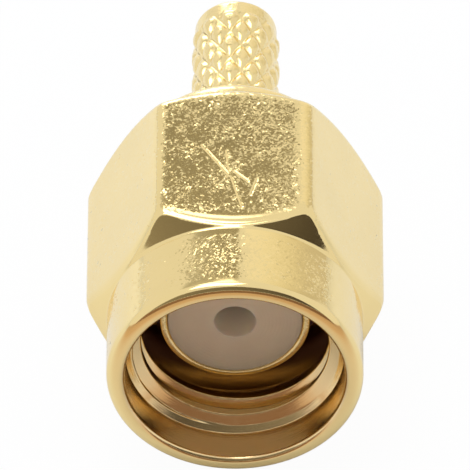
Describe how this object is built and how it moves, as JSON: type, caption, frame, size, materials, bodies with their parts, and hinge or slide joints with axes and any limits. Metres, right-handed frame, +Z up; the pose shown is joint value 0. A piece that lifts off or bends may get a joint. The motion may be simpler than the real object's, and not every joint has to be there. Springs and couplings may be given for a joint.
{
  "type": "sma connector",
  "caption": "Gold-plated coaxial screw plug with a free-turning hex coupling nut, recessed dielectric bead, face gasket and knurled crimp stem for thin cable.",
  "frame": {"origin": "centre of the mating sleeve's front edge, which is the connector's reference plane", "axes": "+Y along the axis from the mating end to the cable end, +Z up from the wrench flat that it lies on, +X to the right seen from the mating end"},
  "size_m": [0.0092, 0.0159, 0.008],
  "materials": {
    "nut_gold": "bright gold plate, tumbled on the flats",
    "body_gold": "bright gold plate",
    "ptfe": "turned white fluoropolymer",
    "silicone": "matte dark red silicone",
    "ring_bronze": "bare spring bronze"
  },
  "bodies": {
    "body": {"connector_body": "body_gold", "insulator": "ptfe", "gasket": "silicone", "retaining_ring": "ring_bronze"},
    "nut": {"coupling_nut": "nut_gold"}
  },
  "joints": [
    {"name": "nut_spin", "type": "hinge", "parent": "body", "child": "nut", "pos_m": [0, 0.004, 0], "axis": [0, 1, 0], "continuous": true}
  ]
}
